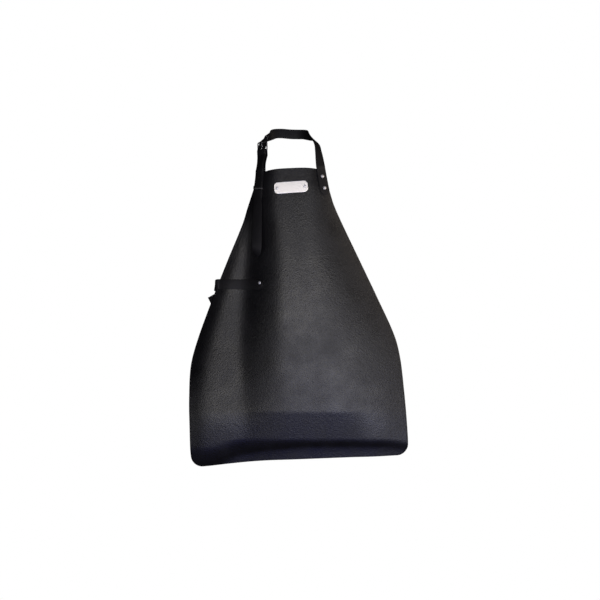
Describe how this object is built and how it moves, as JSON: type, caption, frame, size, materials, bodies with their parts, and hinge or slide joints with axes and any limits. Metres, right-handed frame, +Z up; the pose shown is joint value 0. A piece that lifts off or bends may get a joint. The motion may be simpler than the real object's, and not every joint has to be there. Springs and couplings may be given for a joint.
{
  "type": "leather work apron",
  "caption": "Black leather work apron with bib, riveted neck strap with buckle and hanging free end, waist strap round its left edge, and a bare metal plate on the bib.",
  "frame": {"origin": "middle of the neck strap's inner face behind the neck, where the apron hangs", "axes": "+Z up along the apron's height, -Y towards the viewer in front of the apron, +X to the viewer's right"},
  "size_m": [0.6137, 0.1168, 0.9603],
  "materials": {
    "panel_leather": "black pebbled cowhide, semi-matte",
    "strap_leather": "black smooth strap leather",
    "bright_metal": "bright nickel plate",
    "plate_metal": "satin nickel plate"
  },
  "bodies": {
    "root": {"apron_panel": "panel_leather", "neck_strap": "strap_leather", "buckle_strap": "strap_leather", "strap_keeper": "strap_leather", "waist_strap": "strap_leather", "buckle_frame": "bright_metal", "buckle_prong": "bright_metal", "neck_rivet_lower": "bright_metal", "neck_rivet_upper": "bright_metal", "buckle_rivet_lower": "bright_metal", "buckle_rivet_upper": "bright_metal", "waist_rivet": "bright_metal", "plate_rivet_left": "bright_metal", "plate_rivet_right": "bright_metal", "label_plate": "plate_metal"}
  },
  "joints": []
}
